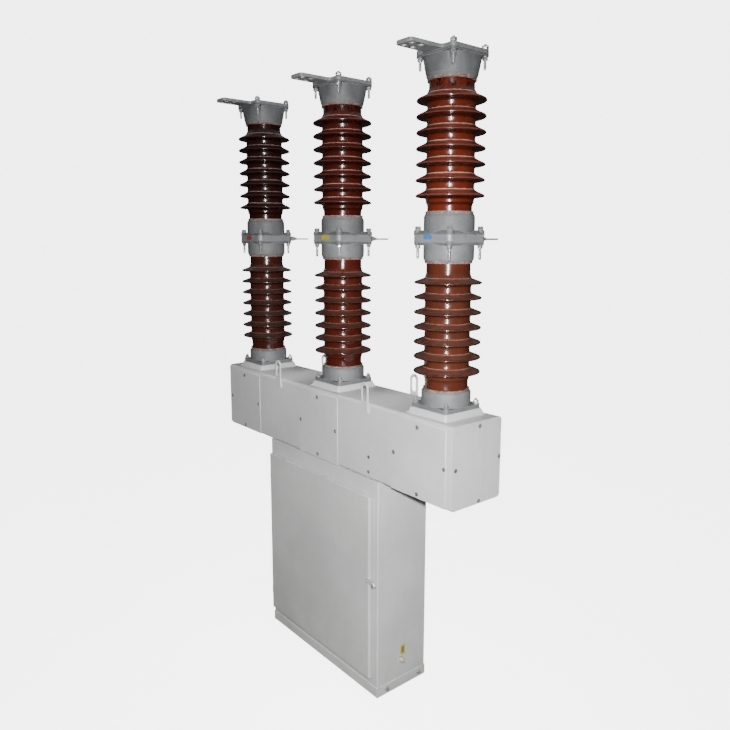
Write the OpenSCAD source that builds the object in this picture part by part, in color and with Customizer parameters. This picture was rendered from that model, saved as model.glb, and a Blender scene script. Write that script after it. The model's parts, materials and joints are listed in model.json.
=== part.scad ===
/* Outdoor vacuum circuit breaker, three poles on a box beam above an
   operating-mechanism cabinet.  Millimetres.
   Frame: X along the row of poles, -Y towards the cabinet door, +Z up.
   Origin: on the floor, under the middle pole. */

/* [Poles] */
// Distance between the axes of neighbouring poles
pole_pitch = 700; // [600:10:900]
// Radius of the porcelain core between sheds
core_r = 89; // [80:1:96]
// Radius of the sheds at their tips
shed_r = 137; // [120:1:145]
// Height from one shed to the next
shed_pitch = 60.6; // [52:0.2:64]
// How much thicker the upper porcelain's sheds are above their tips
upper_shed_grow_up = 6; // [0:0.5:7]
// How much wider the upper porcelain's core is between its sheds
upper_neck_grow = 6; // [0:0.5:8]
// How much wider the lower porcelain's core is between its sheds
lower_neck_grow = 4; // [0:0.5:8]
// Number of sheds on each porcelain
shed_count = 7; // [5:1:7]
// Length of each porcelain between its two castings
porcelain_h = 494; // [480:1:520]
// Height of the first shed's tip below the top of a porcelain
first_shed = 71; // [60:1:80]
// Radius of the cement joints between porcelain and casting
cement_r = 96; // [92:1:99]
// Height of each cement joint
cement_h = 10; // [6:1:12]

/* [Castings] */
// Side of the square flanges
flange_w = 208; // [206:1:220]
// Corner radius of the square flanges
flange_corner_r = 20; // [15:1:30]
// Radius of the round collars
collar_r = 102; // [100:1:103]
// Thickness of the base casting's flange
flange_t = 18; // [15:1:22]
// Thickness of the flange under the middle terminal
mid_low_flange_t = 14; // [12:1:18]
// Thickness of the flange above the middle terminal
mid_up_flange_t = 18; // [14:1:22]
// Thickness of the top casting's flange
top_flange_t = 10; // [8:1:14]
// Height of the collars at the middle of the pole
mid_collar_h = 66; // [55:1:70]
// Height of the collar on the base casting, above its flange
base_collar_h = 58; // [50:1:70]
// Height of the cone on the top casting, below its flange
top_collar_h = 79; // [70:1:90]
// Corner radius of that cone where it meets the square flange
top_cone_corner_r = 72; // [60:1:90]
// Radius of the bolt pockets in that cone
pocket_r = 19; // [15:1:20]
// Distance between the corner bolts of the square flanges
bolt_pitch = 176; // [170:1:180]

/* [Terminals] */
// Thickness of the middle terminal's square plate
mid_plate_t = 28; // [22:1:30]
// Thickness of the top terminal plate
top_plate_t = 15; // [12:1:18]
// Width of the terminal pads
pad_w = 88; // [80:1:100]
// Reach of the terminal pads from the pole's axis
pad_reach = 262; // [250:1:280]
// Thickness of the middle terminal's blade
blade_t = 8; // [6:1:12]
// Distance between terminal holes, both ways
hole_pitch = 44; // [40:1:48]
// Radius of the terminal holes
hole_r = 7; // [5.5:0.5:8]
// Distance from the pad's end to the middle of its four holes
hole_inset = 50; // [46:1:56]

/* [Beam] */
// Length of the box beam without its end covers
beam_l = 1756; // [1740:2:1900]
// Depth of the box beam from front to back
beam_d = 290; // [280:5:320]
// Height of the box beam
beam_h = 345; // [320:5:370]
// Sheet thickness of the beam
beam_t = 4; // [3:0.5:6]
// Bend radius of the beam's long edges
beam_bend_r = 16; // [8:1:20]
// Width of each removable front cover
cover_w = 320; // [290:2:330]
// Thickness of the front covers
cover_t = 3; // [2:0.5:4]
// Depth of the folded end covers
end_cover_t = 5; // [3:0.5:8]
// Height of the raised seat under each pole
seat_h = 25; // [18:1:30]

/* [Lifting lugs] */
// Distance of the lifting lugs from the middle of the beam
lug_x = 355; // [340:5:370]
// Width of a lug
lug_w = 48; // [44:1:60]
// Thickness of a lug
lug_t = 8; // [6:1:12]
// Width of a lug's slot
lug_slot_w = 30; // [26:1:32]
// Length of a lug's slot
lug_slot_l = 70; // [60:1:76]

/* [Cabinet] */
// Width of the cabinet
cab_w = 886; // [860:2:900]
// Depth of the cabinet
cab_d = 302; // [296:2:320]
// Height of the cabinet from the floor to the beam
cab_h = 1045; // [1000:5:1100]
// Sheet thickness of the cabinet
cab_t = 3; // [2:0.5:4]
// Bend radius of the cabinet's upright corners
cab_bend_r = 6; // [5:1:8]
// Width of the side sheets' folds on the front and back
cab_return = 24; // [18:1:30]
// Height of the plinth
plinth_h = 50; // [45:1:60]
// Thickness of the plinth's angle
plinth_t = 5; // [4:0.5:6]
// Radius of the holes in the plinth
plinth_hole_r = 7; // [6:0.5:8]

/* [Door] */
// Distance of the door's left edge from the cabinet's left side
door_left = 13; // [8:1:16]
// Width of the door
door_w = 832; // [820:1:845]
// Height of the door's lower edge above the floor
door_z = 88; // [85:1:100]
// Height of the door
door_h = 880; // [860:1:900]
// Depth of the door's folded edge
door_t = 14; // [12:1:16]
// Bend radius of the door's upright edges
door_bend_r = 4; // [3:0.5:5]
// Gap between the door and the cabinet's front
door_gap = 6; // [5:0.5:7]
// Sheet thickness of the door
door_sheet = 2.5; // [1.5:0.5:4]
// Height of the latch above the floor
latch_z = 572; // [500:1:620]

/* [Hidden] */

$fn = 96;
e = 0.01;

front_y = -149;
back_y = front_y + beam_d;
cab_back_y = front_y + cab_d;
beam_top = cab_h + beam_h;

// heights along a pole
z_seat = beam_top + seat_h;
z_base_flange = z_seat + flange_t;
z_base_top = z_base_flange + base_collar_h;
z_low_start = z_base_top + cement_h;
z_low_end = z_low_start + porcelain_h + 15;
z_mid_low = z_low_end + cement_h;
z_mid_low_flange = z_mid_low + mid_collar_h - 5;
z_mid_plate = z_mid_low_flange + mid_low_flange_t;
z_mid_up_flange = z_mid_plate + mid_plate_t;
z_mid_up_collar = z_mid_up_flange + mid_up_flange_t;
z_mid_top = z_mid_up_collar + mid_collar_h - 2;
z_up_start = z_mid_top + cement_h;
z_up_end = z_up_start + porcelain_h;
z_cap = z_up_end + cement_h;
z_top_flange = z_cap + top_collar_h;
z_top_plate = z_top_flange + top_flange_t;
z_top = z_top_plate + top_plate_t;

painted = [0.74, 0.75, 0.74];
cast = [0.52, 0.55, 0.57];
glaze = [0.30, 0.09, 0.06];
cement = [0.60, 0.52, 0.49];

pole_x = [-pole_pitch, 0, pole_pitch];

// ---- shared shapes ----

module box(x0, x1, y0, y1, z0, z1)
    translate([x0, y0, z0]) cube([x1 - x0, y1 - y0, z1 - z0]);

// a square plate with round corners, as a union of plain solids
module round_plate(w, r, h) {
    linear_extrude(h) round_square(w, w, r);
}

// the same plate with its edge bevelled away over height c, by d all round
module bevelled_plate(w, r, h, c, d, up)
    translate([0, 0, up ? 0 : h]) mirror([0, 0, up ? 0 : 1]) {
        linear_extrude(h - c) round_square(w, w, r);
        hull() {
            translate([0, 0, h - c - 0.5]) linear_extrude(0.5) round_square(w, w, r);
            translate([0, 0, h - 0.5]) linear_extrude(0.5) round_square(w - 2 * d, w - 2 * d, r - d / 2);
        }
    }

module round_square(w, d, r)
    polygon([for (c = [[1, 1, 0], [-1, 1, 90], [-1, -1, 180], [1, -1, 270]], a = [0 : 10 : 90])
        [c[0] * (w / 2 - r) + r * cos(c[2] + a), c[1] * (d / 2 - r) + r * sin(c[2] + a)]]);

// ---- cabinet ----

module cabinet_plinth() color([0.62, 0.63, 0.62]) {
    w = cab_w / 2 + 2;
    y0 = front_y - 2;
    y1 = cab_back_y + 2;
    difference() {
        box(-w, w, y0, y1, 0, plinth_h);
        box(-w + plinth_t, w - plinth_t, y0 + plinth_t, y1 - plinth_t, plinth_t, plinth_h + 1);
        box(-w + 50, w - 50, y0 + 50, y1 - 50, -1, plinth_h);
        for (s = [-1, 1], y = [-92, 112])
            translate([s * w, y, 25]) rotate([0, 90, 0])
                cylinder(r = plinth_hole_r, h = 30, center = true);
    }
}

module cabinet_floor() color([0.62, 0.63, 0.62])
    translate([0, 0, plinth_h]) linear_extrude(cab_t) cabinet_plan(-cab_t);

// the cabinet's plan, grown or shrunk by g
module cabinet_plan(g)
    translate([0, (front_y + cab_back_y) / 2]) round_square(cab_w + 2 * g, cab_d + 2 * g, cab_bend_r + g);

// each side is one sheet folded round the front and back corners; s is its side
module side_sheet(s)
    translate([0, 0, plinth_h]) linear_extrude(cab_h - plinth_h) intersection() {
        difference() {
            cabinet_plan(0);
            cabinet_plan(-cab_t);
        }
        translate([s > 0 ? cab_w / 2 - cab_return : -cab_w / 2 - 1, front_y - 1])
            square([cab_return + 1, cab_d + 2]);
    }

module cabinet_side_left() color(painted) side_sheet(-1);

module cabinet_side_right() color(painted) side_sheet(1);

module cabinet_back() color(painted)
    box(-cab_w / 2 + cab_return, cab_w / 2 - cab_return, cab_back_y - cab_t, cab_back_y, plinth_h, cab_h);

module cabinet_top() color(painted)
    translate([0, 0, cab_h - cab_t]) linear_extrude(cab_t) cabinet_plan(-cab_t);

// sheet front with the opening behind the door, its edges turned inwards
module cabinet_front_frame() color(painted) {
    xl = -cab_w / 2 + cab_return;
    xr = cab_w / 2 - cab_return;
    ol = -cab_w / 2 + 40;
    or_ = -cab_w / 2 + door_left + door_w - 30;
    ob = door_z + 30;
    ot = door_z + door_h - 30;
    difference() {
        box(xl, xr, front_y, front_y + cab_t, plinth_h, cab_h);
        box(ol, or_, front_y - 1, front_y + 30, ob, ot);
    }
    difference() {
        box(ol - cab_t, or_ + cab_t, front_y + cab_t, front_y + 22, ob - cab_t, ot + cab_t);
        box(ol, or_, front_y - 1, front_y + 30, ob, ot);
    }
}

// ---- door ----

door_x0 = -cab_w / 2 + door_left;
door_x1 = door_x0 + door_w;
door_back = front_y - door_gap;
door_front = door_back - door_t;
hinge_r = 5;
hinge_x = door_x0 + 3;
hinge_y = door_front + hinge_r;
hinge_h = 60;
hinge_zs = [door_z + 110, door_z + door_h - 110];

// folded pan, open towards the cabinet, cut away where the hinges sit
module cabinet_door() color(painted) {
    difference() {
        translate([0, 0, door_z]) linear_extrude(door_h) intersection() {
            translate([(door_x0 + door_x1) / 2, door_back]) round_square(door_w, 2 * door_t, door_bend_r);
            translate([door_x0, door_front]) square([door_w, door_t]);
        }
        box(door_x0 + door_sheet + 12, door_x1 - door_sheet, door_front + door_sheet, door_back + 1,
            door_z + door_sheet, door_z + door_h - door_sheet);
        for (z = hinge_zs)
            box(door_x0 - 1, door_x0 + 2 * hinge_r + 1, door_front - 1, door_back + 1, z - hinge_h / 2 - 1, z + hinge_h / 2 + 1);
    }
    // upper knuckles turn with the door
    for (z = hinge_zs)
        difference() {
            union() {
                translate([hinge_x, hinge_y, z + 0.5]) cylinder(r = hinge_r, h = hinge_h / 2 - 0.5);
                box(hinge_x, door_x0 + 2 * hinge_r + 6, hinge_y - 1.5, hinge_y + 1.5, z + 0.5, z + hinge_h / 2);
            }
            translate([hinge_x, hinge_y, z - 1]) cylinder(r = 2.55, h = hinge_h / 2 - 4);
        }
}

// fixed knuckles with their pins, on leaves from the cabinet's front
module door_hinges() color([0.62, 0.63, 0.62])
    for (z = hinge_zs) {
        translate([hinge_x, hinge_y, z - hinge_h / 2]) cylinder(r = hinge_r, h = hinge_h / 2);
        translate([hinge_x, hinge_y, z - 5]) cylinder(r = 2.5, h = hinge_h / 2 - 2);
        box(hinge_x - 2, hinge_x + 2, hinge_y, front_y, z - hinge_h / 2, z);
    }

// hasp strap from the door's edge over to the cabinet's corner, with a round knob
module door_latch() color([0.66, 0.67, 0.66]) {
    box(door_x1 - 20, door_x1 + 47, door_front - 4, door_front, latch_z - 12, latch_z + 12);
    translate([door_x1 + 46, door_front - 4, latch_z]) rotate([90, 0, 0]) cylinder(r = 13, h = 8);
    translate([door_x1 + 46, door_front - 12, latch_z]) rotate([90, 0, 0]) cylinder(r1 = 13, r2 = 9, h = 4);
}

module latch_keeper() color([0.60, 0.61, 0.60]) {
    x = cab_w / 2;
    box(x, x + 4, front_y + 2, front_y + 28, latch_z - 18, latch_z + 18);
    box(x, x + 8, front_y + 6, front_y + 12, latch_z - 12, latch_z + 12);
}

// ---- earthing ----

earth_y = -4;
earth_z = 140;

module earth_terminal() color([0.72, 0.70, 0.62]) {
    x = cab_w / 2;
    box(x, x + 4, earth_y - 13, earth_y + 13, earth_z - 16, earth_z + 16);
    translate([x + 4, earth_y, earth_z]) rotate([0, 90, 0]) cylinder(r = 6, h = 24);
}

module earth_marker_plate() color([0.85, 0.72, 0.10]) {
    x = cab_w / 2;
    box(x, x + 1, 8 - 15, 8 + 15, 184 - 26, 184 + 26);
}

// ---- beam ----

module beam_section(w, h, r)
    translate([(front_y + back_y) / 2, cab_h + beam_h / 2]) round_square(w, h, r);

// beam sections are drawn in Y and Z, then run along X
module along_x(x0, x1)
    translate([x0, 0, 0]) rotate([90, 0, 90]) linear_extrude(x1 - x0) children();

module beam_housing() color(painted)
    along_x(-beam_l / 2, beam_l / 2) difference() {
        beam_section(beam_d, beam_h, beam_bend_r);
        beam_section(beam_d - 2 * beam_t, beam_h - 2 * beam_t, beam_bend_r - beam_t);
    }

module beam_end_covers() color(painted) {
    along_x(-beam_l / 2 - end_cover_t, -beam_l / 2) beam_section(beam_d, beam_h, beam_bend_r);
    along_x(beam_l / 2, beam_l / 2 + end_cover_t) beam_section(beam_d, beam_h, beam_bend_r);
}

module beam_front_covers() color(painted)
    for (x = pole_x)
        box(x - cover_w / 2 - 10, x + cover_w / 2 - 10, front_y - cover_t, front_y, cab_h + 4, beam_top - 16);

// upright lug with one long slot; its foot is welded to the beam's side
module lug(x, y0)
    color([0.68, 0.69, 0.68])
        translate([x, y0 + lug_t, 0]) rotate([90, 0, 0]) linear_extrude(lug_t) {
            difference() {
                union() {
                    translate([-lug_w / 2, beam_top - 45]) square([lug_w, 45 + 70]);
                    translate([0, beam_top + 70]) circle(r = lug_w / 2);
                }
                translate([0, beam_top + 10 + lug_slot_w / 2]) circle(r = lug_slot_w / 2);
                translate([0, beam_top + 10 + lug_slot_l - lug_slot_w / 2]) circle(r = lug_slot_w / 2);
                translate([-lug_slot_w / 2, beam_top + 10 + lug_slot_w / 2])
                    square([lug_slot_w, lug_slot_l - lug_slot_w]);
            }
        }

module front_lifting_lugs() for (s = [-1, 1]) lug(s * lug_x, front_y - lug_t);
module rear_lifting_lugs() for (s = [-1, 1]) lug(s * lug_x, back_y);

// raised seats with sloping sides
module pole_seats() color([0.66, 0.67, 0.67])
    for (x = pole_x)
        translate([x, 0, beam_top]) hull() {
            linear_extrude(2) round_square(226, 234, 14);
            translate([0, 0, seat_h - 3]) linear_extrude(1) round_square(212, 216, 12);
            translate([0, 0, seat_h - 1]) linear_extrude(1) round_square(208, 212, 10);
        }

// ---- pole ----

// porcelain profile: sheds with a sloping top and a nearly flat underside, tips at zt,
// over hollow necks; u thickens a shed above its tip, n widens the neck below it
function shed_outline(zt, u, n) = [
    [core_r + 1.05 * n, zt + 23.6 + u], [core_r + 1.15 * n + 0.6, zt + 20.8 + u],
    [core_r + 1.3 * n + 2, zt + 18 + 0.9 * u], [core_r + 1.3 * n + 5, zt + 16.2 + 0.85 * u],
    [shed_r - 6, zt + 5.4 + 0.3 * u], [shed_r - 2.2, zt + 3.9 + 0.15 * u], [shed_r - 0.6, zt + 2.1 + 0.1 * u],
    [shed_r, zt],
    [shed_r - 0.6, zt - 2.2], [shed_r - 2.2, zt - 3.9], [shed_r - 6, zt - 5],
    [core_r + 28, zt - 6.4], [core_r + 1.4 * n + 6.5, zt - 7.8], [core_r + 1.2 * n + 3.8, zt - 8.8],
    [core_r + 1.2 * n + 1.8, zt - 10.6], [core_r + 1.17 * n + 0.9, zt - 13.2], [core_r + 1.12 * n, zt - 17],
    [core_r + 1.02 * n, zt - 23]];

module porcelain(z0, z1, z_first, u, n) {
    z_last = z_first - (shed_count - 1) * shed_pitch;
    rotate_extrude()
        polygon(concat([[0, z1], [core_r, z1], [core_r, z_first + 38 + u], [core_r + 0.35 * n, z_first + 31 + u]],
            [for (k = [0 : shed_count - 1], p = shed_outline(z_first - k * shed_pitch, u, n)) p],
            [[core_r + 0.5 * n, z_last - 31], [core_r, z_last - 39], [core_r, z0], [0, z0]]));
}

module lower_porcelain(x) color(glaze) translate([x, 0, 0])
    porcelain(z_low_start, z_low_end, z_low_end - first_shed - 6, 1, lower_neck_grow);

module upper_porcelain(x) color(glaze) translate([x, 0, 0])
    porcelain(z_up_start, z_up_end, z_up_end - first_shed, upper_shed_grow_up, upper_neck_grow);

module base_casting(x) color(cast) translate([x, 0, 0]) {
    translate([0, 0, z_seat]) round_plate(flange_w - 2, 16, flange_t);
    rotate_extrude() polygon([[0, z_base_flange - e], [collar_r, z_base_flange - e],
        [collar_r, z_base_top - 6], [collar_r - 2, z_base_top - 2], [cement_r + 1, z_base_top], [0, z_base_top]]);
}

module mid_lower_casting(x) color(cast) translate([x, 0, 0]) {
    rotate_extrude() polygon([[0, z_mid_low], [cement_r + 1, z_mid_low], [collar_r - 2, z_mid_low + 3],
        [collar_r, z_mid_low + 14], [collar_r, z_mid_plate - 2], [0, z_mid_plate - 2]]);
    translate([0, 0, z_mid_low_flange]) bevelled_plate(flange_w, flange_corner_r, mid_low_flange_t, 10, 9, false);
}

module mid_upper_casting(x) color(cast) translate([x, 0, 0]) {
    translate([0, 0, z_mid_up_flange]) bevelled_plate(flange_w, flange_corner_r, mid_up_flange_t, 14, 12, true);
    rotate_extrude() polygon([[0, z_mid_up_flange + 2], [collar_r, z_mid_up_flange + 2],
        [collar_r, z_mid_top - 14], [collar_r - 1, z_mid_top - 9], [collar_r - 3.6, z_mid_top - 4],
        [cement_r + 0.5, z_mid_top], [0, z_mid_top]]);
}

// a cone, round below and nearly square under its flange, with a pocket for each corner bolt
module top_casting(x) color(cast) translate([x, 0, 0]) {
    difference() {
        union() {
            rotate_extrude() polygon([[0, z_cap], [cement_r + 0.5, z_cap], [collar_r - 3, z_cap + 5],
                [collar_r - 1.4, z_cap + 10], [collar_r - 1, z_cap + 14], [0, z_cap + 14]]);
            hull() {
                translate([0, 0, z_cap + 12]) cylinder(r = collar_r - 1, h = 2);
                translate([0, 0, z_top_flange - 8]) linear_extrude(10)
                    round_square(flange_w - 4, flange_w - 4, top_cone_corner_r);
            }
        }
        for (i = [-1, 1], j = [-1, 1])
            translate([i * bolt_pitch / 2, j * bolt_pitch / 2, z_cap - 1]) cylinder(r = pocket_r, h = top_collar_h + 4);
    }
    translate([0, 0, z_top_flange]) round_plate(flange_w, flange_corner_r, top_flange_t);
}

module pad_holes(y_end, s, z0, h)
    for (i = [-1, 1], j = [-1, 1])
        translate([i * hole_pitch / 2, y_end - s * hole_inset + j * hole_pitch / 2, z0 - 1])
            cylinder(r = hole_r, h = h + 2);

// square plate with a drilled pad towards the front, all of one thickness
module top_terminal(x) color(cast) translate([x, 0, 0]) {
    difference() {
        translate([0, 0, z_top_plate]) linear_extrude(top_plate_t) union() {
            round_square(flange_w, flange_w, flange_corner_r);
            polygon([[-pad_w / 2 - 16, -flange_w / 2 + 4], [-pad_w / 2 - 5, -flange_w / 2 - 3],
                [-pad_w / 2, -flange_w / 2 - 14],
                [-pad_w / 2, -pad_reach + 16], [-pad_w / 2 + 5, -pad_reach + 5], [-pad_w / 2 + 16, -pad_reach],
                [pad_w / 2 - 16, -pad_reach], [pad_w / 2 - 5, -pad_reach + 5], [pad_w / 2, -pad_reach + 16],
                [pad_w / 2, -flange_w / 2 - 14], [pad_w / 2 + 5, -flange_w / 2 - 3],
                [pad_w / 2 + 16, -flange_w / 2 + 4]]);
        }
        pad_holes(-pad_reach, -1, z_top_plate, top_plate_t);
    }
}

// square plate with a thin drilled blade towards the back, its root tapered
module mid_terminal(x) color(cast) translate([x, 0, 0]) {
    zb = z_mid_plate + 7;
    difference() {
        union() {
            translate([0, 0, z_mid_plate]) round_plate(flange_w + 2, flange_corner_r + 1, mid_plate_t);
            rotate([90, 0, 90]) translate([0, 0, -pad_w / 2]) linear_extrude(pad_w)
                polygon([[flange_w / 2 - 8, z_mid_plate + 1], [flange_w / 2 + 48, z_mid_plate + 1],
                    [flange_w / 2 + 60, zb - 2.5], [flange_w / 2 + 76, zb],
                    [pad_reach, zb], [pad_reach, zb + blade_t], [flange_w / 2 + 76, zb + blade_t],
                    [flange_w / 2 + 60, zb + blade_t + 6], [flange_w / 2 + 48, z_mid_up_flange - 3],
                    [flange_w / 2 - 8, z_mid_up_flange - 1]]);
        }
        pad_holes(pad_reach, 1, zb, blade_t);
        for (s = [-1, 1]) translate([s * pad_w / 2, pad_reach, zb]) rotate([0, 0, 45])
            cube([16, 16, 40], center = true);
    }
}

module ring(z) translate([0, 0, z]) cylinder(r = cement_r, h = cement_h);

module cement_joints() color(cement)
    for (x = pole_x) translate([x, 0, 0]) {
        ring(z_base_top);
        ring(z_low_end);
        ring(z_mid_top);
        ring(z_up_end);
    }

module base_casting_a() base_casting(pole_x[0]);
module base_casting_b() base_casting(pole_x[1]);
module base_casting_c() base_casting(pole_x[2]);
module lower_porcelain_a() lower_porcelain(pole_x[0]);
module lower_porcelain_b() lower_porcelain(pole_x[1]);
module lower_porcelain_c() lower_porcelain(pole_x[2]);
module mid_lower_casting_a() mid_lower_casting(pole_x[0]);
module mid_lower_casting_b() mid_lower_casting(pole_x[1]);
module mid_lower_casting_c() mid_lower_casting(pole_x[2]);
module mid_terminal_a() mid_terminal(pole_x[0]);
module mid_terminal_b() mid_terminal(pole_x[1]);
module mid_terminal_c() mid_terminal(pole_x[2]);
module mid_upper_casting_a() mid_upper_casting(pole_x[0]);
module mid_upper_casting_b() mid_upper_casting(pole_x[1]);
module mid_upper_casting_c() mid_upper_casting(pole_x[2]);
module upper_porcelain_a() upper_porcelain(pole_x[0]);
module upper_porcelain_b() upper_porcelain(pole_x[1]);
module upper_porcelain_c() upper_porcelain(pole_x[2]);
module top_casting_a() top_casting(pole_x[0]);
module top_casting_b() top_casting(pole_x[1]);
module top_casting_c() top_casting(pole_x[2]);
module top_terminal_a() top_terminal(pole_x[0]);
module top_terminal_b() top_terminal(pole_x[1]);
module top_terminal_c() top_terminal(pole_x[2]);

cabinet_plinth();
cabinet_floor();
cabinet_side_left();
cabinet_side_right();
cabinet_back();
cabinet_top();
cabinet_front_frame();
cabinet_door();
door_hinges();
door_latch();
latch_keeper();
earth_terminal();
earth_marker_plate();
beam_housing();
beam_end_covers();
beam_front_covers();
front_lifting_lugs();
rear_lifting_lugs();
pole_seats();
base_casting_a();
lower_porcelain_a();
mid_lower_casting_a();
mid_terminal_a();
mid_upper_casting_a();
upper_porcelain_a();
top_casting_a();
top_terminal_a();
base_casting_b();
lower_porcelain_b();
mid_lower_casting_b();
mid_terminal_b();
mid_upper_casting_b();
upper_porcelain_b();
top_casting_b();
top_terminal_b();
base_casting_c();
lower_porcelain_c();
mid_lower_casting_c();
mid_terminal_c();
mid_upper_casting_c();
upper_porcelain_c();
top_casting_c();
top_terminal_c();
cement_joints();
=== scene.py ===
"""Looks of an outdoor vacuum circuit breaker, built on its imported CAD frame."""

import json
import math
import random

import bmesh
import bpy
from mathutils import Matrix, Vector


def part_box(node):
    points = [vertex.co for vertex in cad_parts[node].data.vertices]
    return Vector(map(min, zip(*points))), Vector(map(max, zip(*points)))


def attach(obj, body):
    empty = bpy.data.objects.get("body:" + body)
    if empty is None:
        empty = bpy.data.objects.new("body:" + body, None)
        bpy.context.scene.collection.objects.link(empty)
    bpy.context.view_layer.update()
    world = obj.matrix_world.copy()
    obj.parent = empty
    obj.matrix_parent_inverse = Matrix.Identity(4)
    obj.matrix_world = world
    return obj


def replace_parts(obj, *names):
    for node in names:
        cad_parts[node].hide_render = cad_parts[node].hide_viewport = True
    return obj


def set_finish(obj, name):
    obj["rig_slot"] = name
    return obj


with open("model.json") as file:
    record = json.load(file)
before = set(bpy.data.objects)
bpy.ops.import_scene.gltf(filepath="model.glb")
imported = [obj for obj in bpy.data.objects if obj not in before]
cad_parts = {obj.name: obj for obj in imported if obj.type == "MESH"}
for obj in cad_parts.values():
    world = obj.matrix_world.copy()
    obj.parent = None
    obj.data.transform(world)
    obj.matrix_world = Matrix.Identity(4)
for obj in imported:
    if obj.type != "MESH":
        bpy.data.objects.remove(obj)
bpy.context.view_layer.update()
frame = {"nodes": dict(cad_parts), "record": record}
NODES = frame["nodes"]
POLES = {"a": -0.7, "b": 0.0, "c": 0.7}
rng = random.Random(7)


# ---------------------------------------------------------------- node graphs

class Graph:
    """A material's node tree with one Principled shader."""

    def __init__(self, name):
        self.mat = bpy.data.materials.new(name)
        self.mat.use_nodes = True
        self.tree = self.mat.node_tree
        self.tree.nodes.clear()
        out = self.node("ShaderNodeOutputMaterial")
        self.bsdf = self.node("ShaderNodeBsdfPrincipled")
        self.tree.links.new(self.bsdf.outputs[0], out.inputs[0])
        self.obj = self.node("ShaderNodeTexCoord").outputs["Object"]

    def node(self, kind, **props):
        n = self.tree.nodes.new(kind)
        for k, v in props.items():
            setattr(n, k, v)
        return n

    def put(self, socket, value):
        if isinstance(value, bpy.types.NodeSocket):
            self.tree.links.new(value, socket)
        else:
            socket.default_value = value

    def set(self, name, value):
        self.put(self.bsdf.inputs[name], value)

    def stretch(self, x, y, z, loc=(0, 0, 0)):
        m = self.node("ShaderNodeMapping")
        self.put(m.inputs["Vector"], self.obj)
        m.inputs["Scale"].default_value = (x, y, z)
        m.inputs["Location"].default_value = loc
        return m.outputs[0]

    def noise(self, scale, detail=2.0, rough=0.5, vec=None, dist=0.0):
        n = self.node("ShaderNodeTexNoise")
        self.put(n.inputs["Vector"], vec or self.obj)
        n.inputs["Scale"].default_value = scale
        n.inputs["Detail"].default_value = detail
        n.inputs["Roughness"].default_value = rough
        n.inputs["Distortion"].default_value = dist
        return n.outputs["Fac"]

    def cells(self, scale, vec=None, feature="F1", out="Distance", rand=1.0):
        n = self.node("ShaderNodeTexVoronoi", feature=feature)
        self.put(n.inputs["Vector"], vec or self.obj)
        n.inputs["Scale"].default_value = scale
        n.inputs["Randomness"].default_value = rand
        return n.outputs[out]

    def math(self, op, a, b=0.0, c=0.0, clamp=False):
        n = self.node("ShaderNodeMath", operation=op, use_clamp=clamp)
        for i, v in enumerate((a, b, c)):
            if i < len(n.inputs):
                self.put(n.inputs[i], v)
        return n.outputs[0]

    def step(self, value, lo, hi, out_lo=0.0, out_hi=1.0, smooth=True):
        n = self.node("ShaderNodeMapRange", interpolation_type="SMOOTHSTEP" if smooth else "LINEAR")
        self.put(n.inputs["Value"], value)
        for i, v in zip(("From Min", "From Max", "To Min", "To Max"), (lo, hi, out_lo, out_hi)):
            self.put(n.inputs[i], v)
        return n.outputs[0]

    def mix(self, fac, a, b, blend="MIX"):
        n = self.node("ShaderNodeMix", data_type="RGBA", blend_type=blend)
        self.put(n.inputs[0], fac)
        for i, v in ((6, a), (7, b)):
            self.put(n.inputs[i], v if isinstance(v, bpy.types.NodeSocket) else (*v, 1.0))
        return n.outputs[2]

    def split(self, vec=None):
        n = self.node("ShaderNodeSeparateXYZ")
        self.put(n.inputs[0], vec or self.obj)
        return n.outputs

    def up(self):
        """How much the surface faces up, from -1 to 1."""
        return self.split(self.node("ShaderNodeNewGeometry").outputs["Normal"])[2]

    def edge(self, radius, gain=6.0):
        """1 along outer edges and corners, 0 on flats."""
        b = self.node("ShaderNodeBevel", samples=4)
        b.inputs["Radius"].default_value = radius
        d = self.node("ShaderNodeVectorMath", operation="DOT_PRODUCT")
        self.put(d.inputs[0], b.outputs[0])
        self.put(d.inputs[1], self.node("ShaderNodeNewGeometry").outputs["Normal"])
        return self.math("MULTIPLY", self.math("SUBTRACT", 1.0, d.outputs["Value"]), gain, clamp=True)

    def bump(self, *layers):
        """Layers of (height, distance in metres, strength) laid on one another."""
        normal = None
        for height, distance, strength in layers:
            b = self.node("ShaderNodeBump")
            self.put(b.inputs["Height"], height)
            b.inputs["Distance"].default_value = distance
            b.inputs["Strength"].default_value = strength
            if normal:
                self.put(b.inputs["Normal"], normal)
            normal = b.outputs[0]
        self.put(self.bsdf.inputs["Normal"], normal)


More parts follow.
